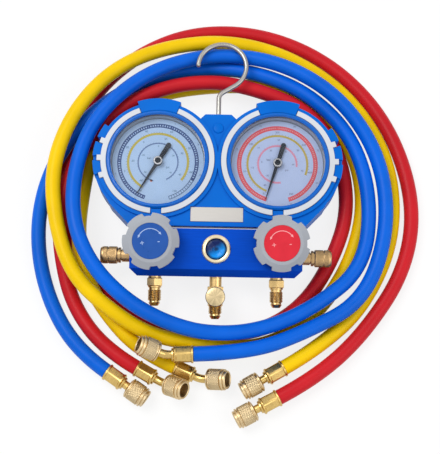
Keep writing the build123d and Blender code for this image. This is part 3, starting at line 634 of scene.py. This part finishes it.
# The print of each dial: layers with their names, inks and colours, and what is drawn in each.
DIAL_PRINT = (
    (-1, (
        ("left_scale_outer", "ink_navy", (0.004, 0.035, 0.16), [(arc_band, 30.8, 34.2, 252, -28, INK)]),
        ("left_scale_pips", "ink_pale_blue", (0.30, 0.43, 0.64), [
            (ticks_round, 31.8, 33.2, 250.2, -273.6, 76, 1.0, SECOND_INK, 10, 0.4)]),
        ("left_scale_outer_end", "ink_faint_navy", (0.05, 0.10, 0.22), [
            (arc_band, 33.5, 34.1, -28, -72, INK),
            (arc_band, 30.9, 31.5, -28, -72, INK),
            (ticks_round, 31.4, 33.6, -28, -44, 11, 0.5, INK)]),
        ("left_scale_middle", "ink_gold", (0.40, 0.33, 0.03), [(arc_band, 24.1, 26.1, 241, -38, INK)]),
        ("left_scale_inner", "ink_slate", (0.09, 0.15, 0.31), [
            (arc_band, 16.1, 17.2, 258, -64, INK),
            (ticks_round, 17.0, 17.9, 258, -322, 40, 0.2, INK),
            (numbers_round, "-76 0 2 4 6 8 10 12", 37.0, 240, -60, 2.1, INK)]),
        ("left_scale_numbers", "ink_teal", (0.02, 0.09, 0.17), [
            (numbers_round, "-30 0 20 40 60 80 100 120", 29.0, 240, -60, 2.6, INK),
            (numbers_round, "-40 -20 0 20 30 40", 21.4, 230, -30, 2.4, INK),
            (numbers_round, "-50 -30 0 20 40", 14.0, 220, -40, 2.1, INK),
            (number, "bar", -7.6, 3.4, 2.6, INK),
            (number, "psi", 8.2, -4.4, 2.6, INK),
            (ticks_round, 26.1, 26.9, 241, -279, 55, 0.22, INK)]),
        ("left_scale_dot", "ink_rust", (0.38, 0.10, 0.06), [(dot, -5.2, -16.3, 1.1, INK)]))),
    (1, (
        ("right_scale_band", "ink_red", (0.58, 0.040, 0.055), [(arc_band, 30.2, 33.9, 254, -73, INK)]),
        ("right_scale_outer", "ink_salmon", (0.62, 0.24, 0.25), [
            (ticks_round, 31.4, 32.7, 252.5, -324, 108, 0.9, SECOND_INK, 9, 0.45)]),
        ("right_scale_middle", "ink_gold_right", (0.38, 0.29, 0.03), [(arc_band, 24.2, 26.0, 249, -21, INK)]),
        ("right_scale_inner", "ink_pink", (0.56, 0.20, 0.30), [
            (arc_band, 15.4, 16.9, 280, -7, INK),
            (ticks_round, 16.8, 17.7, 280, -287, 36, 0.25, INK)]),
        ("right_scale_numbers", "ink_grey", (0.08, 0.07, 0.14), [
            (numbers_round, "0 5 10 15 20 25 30 35", 36.6, 252, -72, 2.1, INK),
            (numbers_round, "0 50 100 200 300 400 500", 28.2, 246, -66, 2.4, INK),
            (numbers_round, "-40 -10 10 30 50 70", 21.4, 240, -15, 2.3, INK),
            (numbers_round, "-30 0 20 40 60", 13.2, 230, 0, 2.1, INK),
            (number, "bar", -7.4, 3.8, 2.6, INK),
            (number, "psi", 7.8, -5.0, 2.6, INK),
            (ticks_round, 26.1, 26.8, 249, -270, 45, 0.22, INK)]))))


# ---------------------------------------------------------------- settings
COLOUR = {"subtype": "COLOR", "size": 3, "min": 0, "max": 1}


class GaugeSetColours(bpy.types.PropertyGroup):
    """Colours of the set's main finishes"""
    housing: bpy.props.FloatVectorProperty(name="Housing", description="Moulded gauge housing",
                                           default=(0.0, 0.135, 0.60), **COLOUR)
    block: bpy.props.FloatVectorProperty(name="Block", description="Anodised manifold block",
                                         default=(0.0, 0.064, 0.50), **COLOUR)
    grey: bpy.props.FloatVectorProperty(name="Grey plastic", description="Knobs",
                                        default=(0.36, 0.38, 0.42), **COLOUR)
    ring: bpy.props.FloatVectorProperty(name="Guard rings", description="Pale rings round the gauges",
                                        default=(0.64, 0.66, 0.70), **COLOUR)
    brass: bpy.props.FloatVectorProperty(name="Brass", description="Ports, stems and gauge movements",
                                         default=(0.68, 0.47, 0.20), **COLOUR)
    blue_hose: bpy.props.FloatVectorProperty(name="Low-side hose", description="Blue hose",
                                             default=(0.0, 0.120, 0.66), **COLOUR)
    red_hose: bpy.props.FloatVectorProperty(name="High-side hose", description="Red hose",
                                            default=(0.56, 0.012, 0.020), **COLOUR)
    yellow_hose: bpy.props.FloatVectorProperty(name="Service hose", description="Yellow hose",
                                               default=(0.86, 0.56, 0.0), **COLOUR)


class GaugeSetSizes(bpy.types.PropertyGroup):
    """Sizes of the fine detail"""
    hose_diameter: bpy.props.FloatProperty(name="Hose diameter", description="Outside diameter of each hose",
                                           default=0.0124, min=0.008, max=0.016, unit="LENGTH")
    knurl_count: bpy.props.IntProperty(name="Knurls", description="Diamonds round a hose nut",
                                       default=30, min=12, max=60)
    knurl_depth: bpy.props.FloatProperty(name="Knurl depth", description="Depth of a hose nut's knurl",
                                         default=0.0005, min=0, max=0.001, unit="LENGTH")
    thread_lead: bpy.props.FloatProperty(name="Thread lead", description="Lead of the flare threads",
                                         default=0.00127, min=0.0005, max=0.002, unit="LENGTH")
    thread_depth: bpy.props.FloatProperty(name="Thread depth", description="Depth of the flare threads",
                                          default=0.0006, min=0, max=0.001, unit="LENGTH")


class GaugeSetStage(bpy.types.PropertyGroup):
    """Camera and light"""
    lens: bpy.props.FloatProperty(name="Lens", description="Focal length on a 36 mm wide sensor",
                                  default=80.83, min=20, max=200)
    key: bpy.props.FloatProperty(name="Key", description="Strength of both lamps",
                                 default=1.25, min=0, max=10)
    fill: bpy.props.FloatProperty(name="Fill", description="Strength of the surrounding light",
                                  default=0.58, min=0, max=5)


def colours():
    return bpy.context.scene.gauge_set_colours


def sizes():
    return bpy.context.scene.gauge_set_sizes


# ---------------------------------------------------------------- pieces
class GAUGESET_OT_housing(bpy.types.Operator):
    """Finish the moulded housing, its cover, screws, guard rings, bezels and blank plate"""
    bl_idname = "gauge_set.housing"
    bl_label = "Housing"

    def execute(self, context):
        azure = moulded("azure_housing", colours().housing, 0.40, 0.00005, spread=0.07)
        finish_node("gauge_housing", azure)
        finish_node("rear_cover", azure)
        finish_node("rear_screws", brushed("screw_steel", (0.55, 0.56, 0.58), 0.35))
        silver = brushed("plate_silver", (0.48, 0.46, 0.43), 0.42, metallic=0.35, contrast=0.06)
        finish_node("front_plate", silver)
        pale = moulded("guard_grey", colours().ring, 0.45, 0.00004, spread=0.06)
        darker = tuple(c * 0.9 for c in colours().housing)
        rim = moulded("bezel_azure", darker, 0.25, 0.00002, coat=0.4, spread=0.05)
        case = brushed("case_grey", (0.40, 0.42, 0.45), 0.35, (0, 0, 1), metallic=0.6)
        for name, side in SIDES:
            finish_node(f"guard_ring_{name}", pale)
            finish_node(f"bezel_{name}", rim)
            finish_node(f"gauge_case_{name}", case)
            finish_node(f"gauge_lens_{name}", clear_lens(f"lens_{name}"))
        self.head_pad(azure)
        return {"FINISHED"}

    def head_pad(self, material):
        """Low moulded pad over the hook's head, which stands just past the web's front."""
        wall = [(3.8, WEB_TOP - 0.1), (4.6, WEB_TOP - 0.1), (4.6, WEB_TOP + 0.3), (4.2, WEB_TOP + 0.8),
                (3.4, WEB_TOP + 1.1), (0, WEB_TOP + 1.15), (0, WEB_TOP + 0.8), (3.4, WEB_TOP + 0.75)]
        pad = add_object("hook_head_pad", lathe(wall, 64, close=True), shift(0, HOOK_HEAD_Y, 0))
        dress(pad, "manifold", material, angle=50)


class GAUGESET_OT_movement(bpy.types.Operator):
    """Finish the gauge movements under the dials"""
    bl_idname = "gauge_set.movement"
    bl_label = "Movements"

    def execute(self, context):
        for name, side in SIDES:
            brass = turned_brass(f"movement_brass_{name}", shift(side * GAUGE_X, 0, 0), colours().brass, 0.3)
            for part in ("gauge_socket", "bourdon_tube", "sector_gear", "pinion"):
                finish_node(f"{part}_{name}", brass)
        return {"FINISHED"}


class GAUGESET_OT_dials(bpy.types.Operator):
    """Print both dials with generic scales, ticks and numbers"""
    bl_idname = "gauge_set.dials"
    bl_label = "Dials"

    def execute(self, context):
        face = printed("dial_face_left", (0.33, 0.47, 0.68), 0.42, blotch=0.03)
        finish_node("dial_left", face)
        finish_node("dial_right", printed("dial_face_right", (0.36, 0.44, 0.65), 0.42, blotch=0.03))
        for side, layers in DIAL_PRINT:
            for name, ink, colour, marks in layers:
                work = bmesh.new()
                for draw, *values in marks:
                    draw(work, *values)
                bmesh.ops.recalc_face_normals(work, faces=work.faces)
                made = add_object(name, work, shift(side * GAUGE_X, 0, 0))
                dress(made, "manifold", printed(ink, colour))
        return {"FINISHED"}


class GAUGESET_OT_pointers(bpy.types.Operator):
    """Finish the pointers and put a metal cap on each hub"""
    bl_idname = "gauge_set.pointers"
    bl_label = "Pointers"

    def execute(self, context):
        black = printed("needle_black", (0.003, 0.004, 0.008), 0.5, gloss=0.03)
        for name, side in SIDES:
            finish_node(f"pointer_{name}", black)
            spot = shift(side * GAUGE_X, 0, 0)
            work = lathe([(0, HUB_TOP - 0.9), (3.75, HUB_TOP - 0.9), (3.75, HUB_TOP - 0.1),
                          (3.45, HUB_TOP + 0.15), (2.6, HUB_TOP + 0.2), (2.4, HUB_TOP), (0, HUB_TOP)], 48)
            metal = turned_brass(f"hub_silver_{name}", spot, (0.30, 0.30, 0.31), 0.36)
            dress(add_object(f"hub_cap_{name}", work, spot), f"pointer_{name}", metal, angle=35)
        return {"FINISHED"}


class GAUGESET_OT_knobs(bpy.types.Operator):
    """Finish the hand wheels and print their turning arrows"""
    bl_idname = "gauge_set.knobs"
    bl_label = "Knobs"

    def execute(self, context):
        grey = moulded("knob_grey", colours().grey, 0.5, 0.00008, spread=0.05)
        label = {"left": printed("label_blue", (0.015, 0.085, 0.36), 0.3),
                 "right": printed("label_red", (0.66, 0.022, 0.040), 0.3)}
        mark = {"left": printed("label_pale_blue", (0.38, 0.50, 0.76), 0.4),
                "right": printed("label_pale_red", (0.86, 0.36, 0.38), 0.4)}
        stem = turned_brass("stem_brass", Matrix.Rotation(BLOCK_TILT, 4, "X"), colours().brass)
        for name, side in SIDES:
            finish_node(f"knob_{name}", grey)
            finish_node(f"knob_label_{name}", label[name])
            finish_node(f"valve_stem_{name}", stem)
            finish_node(f"valve_bonnet_{name}", stem)
            work = bmesh.new()
            arc_band(work, ARROW_R - 0.3, ARROW_R + 0.3, ARROW_FROM, ARROW_TO, LABEL_TOP, thick=0.06)
            for angle, reach in ((ARROW_FROM, 2.4), (ARROW_TO, -2.4)):
                head = ((ARROW_R - 1.0, 0), (ARROW_R + 1.0, 0), (ARROW_R, reach))
                flat_mark(work, head, angle, LABEL_TOP, thick=0.06)
            number(work, "+", -6.5, -1.0, 6.5, LABEL_TOP)
            number(work, "-", 6.5, -1.0, 6.5, LABEL_TOP)
            bmesh.ops.recalc_face_normals(work, faces=work.faces)
            place = valve_frame(side) @ Matrix.Rotation(radians(LABEL_TURN[name]), 4, "Z")
            arrow = add_object(f"turning_arrow_{name}", work, place)
            dress(arrow, f"knob_{name}", mark[name])
        return {"FINISHED"}


class GAUGESET_OT_block(bpy.types.Operator):
    """Finish the anodised block and its sight glass"""
    bl_idname = "gauge_set.block"
    bl_label = "Block"

    def execute(self, context):
        anodised = brushed("block_blue", colours().block, 0.34, metallic=0.4, depth=0.00001, contrast=0.12,
                           gloss=0.1)
        finish_node("manifold_block", anodised)
        place = frame_of(on_block(0, 0, 0), (1, 0, 0), FACE)
        rim = add_object("sight_ring_skin", lathe([
            (8.3, -0.6), (8.35, 1.0), (8.8, 2.0), (9.6, 2.35), (10.8, 2.2), (11.6, 1.4), (11.8, 0.5),
            (11.8, 0.02), (9.0, 0.02), (9.0, -0.6)], 72, close=True), place)
        dress(rim, "manifold", turned_brass("sight_brass", place, (0.86, 0.72, 0.48), 0.2),
              ["sight_ring"], 25)
        lens = add_object("sight_lens_skin", lathe([
            (8.25, -2.0), (8.25, 0.1), (6.6, 0.45), (3.6, -0.5), (2.2, 0.2), (0, 0.3)], 9), place)
        dress(lens, "manifold", sight_glass(), ["sight_lens"])
        return {"FINISHED"}


class GAUGESET_OT_ports(bpy.types.Operator):
    """Turn the threaded ports and their caps"""
    bl_idname = "gauge_set.ports"
    bl_label = "Ports"

    def execute(self, context):
        lead, depth = sizes().thread_lead, sizes().thread_depth
        for name, side in SIDES:
            place = bottom_port_frame(side * GAUGE_X)
            brass = turned_brass(f"port_brass_{name}", place, colours().brass, 0.26)
            wall = ([(5.3, 0.0), (5.3, 1.6), (4.8, 1.8), (4.8, 8.2), (5.5, 8.4), (5.5, 9.4), (4.6, 9.8),
                     (4.6, 11.4)] + rows_between(5.6, 11.5, 20.0, THREAD_STEP)
                    + [(4.2, 20.4), (4.2, 21.4), (4.8, 22.0), (3.1, 24.5), (2.4, 24.5), (2.4, 16.0)])
            hexed = add_object(f"port_hex_{name}", hex_bar(12.0, 1.4, 8.4, corner=1.3), place)
            dress(hexed, "manifold", brass, [f"bottom_port_{name}"], 20)
            thread = cut_relief(lathe(wall, 48), f"port_thread_{name}", f"port_thread_{name}", brass, place,
                                lead=lead, depth=depth, low=0.0114, high=0.0201, inner_radius=0.0054)
            dress(thread, "manifold", brass, [f"bottom_port_{name}"], 50)
            self.side_cap(name, side)
        self.centre_port()
        return {"FINISHED"}

    def side_cap(self, name, side):
        place = side_port_frame(side)
        brass = turned_brass(f"cap_brass_{name}", place, (0.55, 0.36, 0.17), 0.33)
        finish_node(f"side_port_{name}", brass)
        wall = ([(5.7, 10.9), (6.6, 10.9)] + rows_between(7.1, 11.4, 17.8, CAP_STEP)
                + [(6.75, 18.1), (6.75, 18.7)] + rows_between(7.1, 19.0, 22.6, CAP_STEP)
                + [(6.6, 24.0), (6.0, 24.7), (4.4, 24.8), (0, 24.8)])
        cap = cut_relief(lathe(wall, 192), f"side_cap_skin_{name}", f"cap_knurl_{name}", brass, place,
                         starts=48, lead=1.0, depth=0.00018, low=0.0118, high=0.0222, inner_radius=0.0070)
        dress(cap, f"side_cap_{name}", brass, [f"side_cap_{name}"], 40)

    def centre_port(self):
        place = bottom_port_frame(0)
        brass = turned_brass("centre_brass", place, colours().brass, 0.26)
        wall = ([(5.0, 0), (5.0, 8.0), (6.2, 8.0), (6.2, 12.0)] + rows_between(6.2, 12.0, 23.5, 3.0)
                + [(5.7, 24.0)] + rows_between(5.6, 24.2, 30.0, THREAD_STEP)
                + [(4.2, 30.4), (4.2, 31.4), (4.8, 32.1), (3.1, 34.5), (2.4, 34.5), (2.4, 28.0)])
        thread = cut_relief(lathe(wall, 48), "centre_port_turned", "centre_thread", brass, place,
                            lead=sizes().thread_lead, depth=sizes().thread_depth, low=0.0241, high=0.0301,
                            inner_radius=0.0054)
        dress(thread, "manifold", brass, ["centre_tee"], 50)
        hexed = add_object("centre_port_hex", hex_bar(13.0, 8.0, 11.5), place)
        dress(hexed, "manifold", brass, ["centre_tee"], 20)
        branch = place @ shift(0, 0, 16) @ Matrix.Rotation(-pi / 2, 4, "X")
        neck = add_object("centre_port_branch", lathe([(4.6, 3.0), (4.6, 13.4), (0, 13.4)], 48), branch)
        dress(neck, "manifold", brass, ["centre_tee"], 35)
        pale = turned_brass("round_cap_brass", branch, (0.68, 0.54, 0.31), 0.3, 0.35, spun=0.7)
        wall = [(4.7, 7.5), (7.5, 7.5), (8.0, 8.0), (8.0, 14.2), (7.6, 14.8), (7.2, 15.0), (3.0, 14.92),
                (0, 14.9)]
        cap = add_object("round_cap_skin", lathe(wall, 96), branch)
        dress(cap, "centre_cap", pale, ["centre_cap"], 30)


class GAUGESET_OT_hook(bpy.types.Operator):
    """Finish the hanging hook"""
    bl_idname = "gauge_set.hook"
    bl_label = "Hook"

    def execute(self, context):
        steel = brushed("hook_steel", (0.34, 0.33, 0.31), 0.3, (0, 1, 0), metallic=0.9, contrast=0.1)
        finish_node("hook", steel)
        return {"FINISHED"}


class GAUGESET_OT_fittings(bpy.types.Operator):
    """Knurl the swivel nuts and crimp the ferrules at the hose ends"""
    bl_idname = "gauge_set.fittings"
    bl_label = "Hose fittings"

    def execute(self, context):
        for name, bend in BENDS.items():
            start, place = end_frames(name)
            brass = turned_brass(f"nut_brass_{name}", place, (0.70, 0.54, 0.31), 0.34)
            wall = ([(3.5, 0.0), (6.9, 0.0), (8.0, 0.7), (8.6, 1.1), (8.6, 2.0), (7.9, 2.3), (7.9, 2.8)]
                    + rows_between(8.7, 3.1, 12.7, NUT_STEP)
                    + [(7.7, 13.1), (7.7, 13.7), (8.5, 14.0), (8.5, 14.9), (8.2, 15.2), (7.0, 15.4),
                       (7.0, 15.8), (7.4, 16.1), (7.4, 17.1), (7.0, 17.5), (6.2, 17.5), (5.7, 17.0),
                       (5.7, 3.2), (3.5, 3.2)])
            turned = lathe(wall, 8 * sizes().knurl_count, close=True)
            nut = cut_relief(turned, f"nut_skin_{name}", f"nut_knurl_{name}", brass, place,
                             starts=sizes().knurl_count, lead=0.0018, depth=sizes().knurl_depth, low=0.0031,
                             high=0.0127, inner_radius=0.0085, crossed=1)
            dress(nut, f"nut_{name}", brass, [f"hose_nut_{name}"], 40)
            gold = turned_brass(f"ferrule_brass_{name}", start, (0.66, 0.46, 0.16), 0.26)
            ferrule = add_object(f"ferrule_skin_{name}", self.crimped_ferrule(bend), start)
            dress(ferrule, "manifold", gold, [f"ferrule_{name}"], 28)
        return {"FINISHED"}

    @staticmethod
    def crimped_ferrule(bend):
        """Crimped ferrule with a rim at each end, and the tail tube on to the nut."""
        levels = ((6.3, 0.0), (7.25, 0.5), (7.25, 1.7), (6.95, 2.3, CRIMP_FLATS), (6.95, 13.6, CRIMP_FLATS),
                  (7.1, 14.3), (7.1, 15.4), (6.3, 16.0), (5.4, 16.3), (5.2, 17.6), (TAIL_R, 18.0),
                  (TAIL_R, 19.0))
        work = bmesh.new()
        rows = [ring(work, radius, height, FERRULE_STEPS, *flats) for radius, height, *flats in levels]
        turn = Matrix.Identity(4) if bend is None else Matrix.Rotation(radians(bend), 4, "Z")
        bends = [] if bend is None else [(ELBOW_TURN * k / 6, 0.0) for k in range(1, 7)]
        for angle, onward in bends + [(0.0 if bend is None else ELBOW_TURN, 4.6)]:
            station = turn @ elbow_middle(angle) @ Matrix.Rotation(angle, 4, "Y") @ shift(0, 0, onward)
            place = station @ turn.inverted()
            rows.append([work.verts.new(place @ Vector(polar(TAIL_R, 2 * pi * k / FERRULE_STEPS, 0)))
                         for k in range(FERRULE_STEPS)])
        return wall_in(work, rows)


class GAUGESET_OT_hoses(bpy.types.Operator):
    """Lay the three charging hoses along their routes"""
    bl_idname = "gauge_set.hoses"
    bl_label = "Hoses"

    def execute(self, context):
        tints = {"blue": colours().blue_hose, "red": colours().red_hose, "yellow": colours().yellow_hose}
        for name, route in ROUTES.items():
            curve = bpy.data.curves.new(f"charging_hose_{name}", "CURVE")
            curve.dimensions = "3D"
            curve.resolution_u = 10
            curve.bevel_depth = sizes().hose_diameter / 2
            curve.bevel_resolution = 7
            curve.use_fill_caps = True
            line = curve.splines.new("NURBS")
            line.points.add(len(route) - 1)
            for point, spot in zip(line.points, route):
                point.co = (*(Vector(spot) * MM), 1.0)
            line.order_u = 3
            line.use_endpoint_u = True
            hose = link(f"charging_hose_{name}", curve)
            curve.materials.append(hose_rubber(f"hose_{name}", tints[name]))
            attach(hose, "manifold")
            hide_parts(f"hose_{name}")
        return {"FINISHED"}


class GAUGESET_OT_stage(bpy.types.Operator):
    """Set the floor, the lamps and the camera"""
    bl_idname = "gauge_set.stage"
    bl_label = "Stage"

    def execute(self, context):
        stage = context.scene.gauge_set_stage
        context.scene.view_settings.view_transform = "Standard"
        bpy.ops.mesh.primitive_plane_add(size=FLOOR_SIZE, location=(0, 0, -FLOOR_DROP))
        floor = context.object
        floor.name = "studio_floor"
        paper = bpy.data.materials.new("studio_paper")
        tree = self.bare_tree(paper)
        seen = self.seen_directly(tree)
        matte = add_node(tree, "ShaderNodeBsdfDiffuse", None, {"Color": (0.95, 0.95, 0.95, 1)})
        glow = add_node(tree, "ShaderNodeEmission", None, {"Color": (1, 1, 1, 1), "Strength": 1.0})
        blend = add_node(tree, "ShaderNodeMixShader", None, {0: seen * 0.82, 1: matte, 2: glow})
        add_node(tree, "ShaderNodeOutputMaterial", None, {"Surface": blend}, None)
        floor.data.materials.append(paper)
        world = bpy.data.worlds.new("studio_world")
        context.scene.world = world
        tree = self.bare_tree(world)
        soft = add_node(tree, "ShaderNodeBackground", None, {"Color": (1, 1, 1, 1), "Strength": stage.fill})
        white = add_node(tree, "ShaderNodeBackground", None, {"Color": (1, 1, 1, 1), "Strength": 1.0})
        blend = add_node(tree, "ShaderNodeMixShader", None, {0: self.seen_directly(tree), 1: soft, 2: white})
        add_node(tree, "ShaderNodeOutputWorld", None, {"Surface": blend}, None)
        for name, spot, size, share in LAMPS:
            self.lamp(name, spot, size, stage.key * share)
        self.camera(stage.lens)
        return {"FINISHED"}

    @staticmethod
    def bare_tree(owner):
        """The node tree of a material or a world, emptied."""
        owner.use_nodes = True
        for old in list(owner.node_tree.nodes):
            owner.node_tree.nodes.remove(old)
        return owner.node_tree

    @staticmethod
    def seen_directly(tree):
        """1 for what the camera sees, also in metal and through glass."""
        camera, glossy, through = (add_node(tree, "ShaderNodeLightPath", output=f"Is {kind} Ray")
                                   for kind in ("Camera", "Glossy", "Transmission"))
        return camera.sum("MAXIMUM", glossy).sum("MAXIMUM", through)

    @staticmethod
    def lamp(name, spot, size, power):
        light = bpy.data.lights.new(name, "AREA")
        light.size = size
        light.energy = power
        made = link(name, light)
        aim = Vector(LAMP_AIM) - Vector(spot)
        made.matrix_world = Matrix.Translation(spot) @ aim.to_track_quat("-Z", "Y").to_matrix().to_4x4()

    @staticmethod
    def camera(lens):
        right, up = Vector(CAMERA_RIGHT), Vector(CAMERA_UP)
        back = right.cross(up)
        data = bpy.data.cameras.new("front_camera")
        data.lens = lens
        data.sensor_width = 36.0
        data.sensor_fit = "HORIZONTAL"
        data.clip_start = 0.01
        made = link("front_camera", data)
        turn = Matrix((right, up, back)).transposed().to_4x4()
        made.matrix_world = Matrix.Translation(Vector(CAMERA_SPOT) * MM) @ turn
        bpy.context.scene.camera = made


class GAUGESET_PT_panel(bpy.types.Panel):
    """Lists the pieces in the sidebar"""
    bl_idname = "GAUGESET_PT_panel"
    bl_label = "Gauge set"
    bl_space_type = "VIEW_3D"
    bl_region_type = "UI"
    bl_category = "Gauge set"

    def draw(self, context):
        layout = self.layout
        for name, kind in SETTINGS:
            group = getattr(context.scene, name)
            column = layout.column()
            for key in group.bl_rna.properties.keys():
                if key not in ("rna_type", "name"):
                    column.prop(group, key)
        for step in STEPS:
            layout.operator(step.bl_idname)


SETTINGS = (("gauge_set_colours", GaugeSetColours), ("gauge_set_sizes", GaugeSetSizes),
            ("gauge_set_stage", GaugeSetStage))
STEPS = (GAUGESET_OT_housing, GAUGESET_OT_movement, GAUGESET_OT_dials, GAUGESET_OT_pointers,
         GAUGESET_OT_knobs, GAUGESET_OT_block, GAUGESET_OT_ports, GAUGESET_OT_hook, GAUGESET_OT_fittings,
         GAUGESET_OT_hoses, GAUGESET_OT_stage)


def register():
    for key, group in SETTINGS:
        bpy.utils.register_class(group)
        setattr(bpy.types.Scene, key, bpy.props.PointerProperty(type=group))
    for step in (*STEPS, GAUGESET_PT_panel):
        bpy.utils.register_class(step)


def unregister():
    for step in (GAUGESET_PT_panel, *reversed(STEPS)):
        bpy.utils.unregister_class(step)
    for key, group in reversed(SETTINGS):
        delattr(bpy.types.Scene, key)
        bpy.utils.unregister_class(group)


def main():
    register()
    for step in STEPS:
        area, name = step.bl_idname.split(".")
        getattr(getattr(bpy.ops, area), name)()


if __name__ == "__main__":
    main()
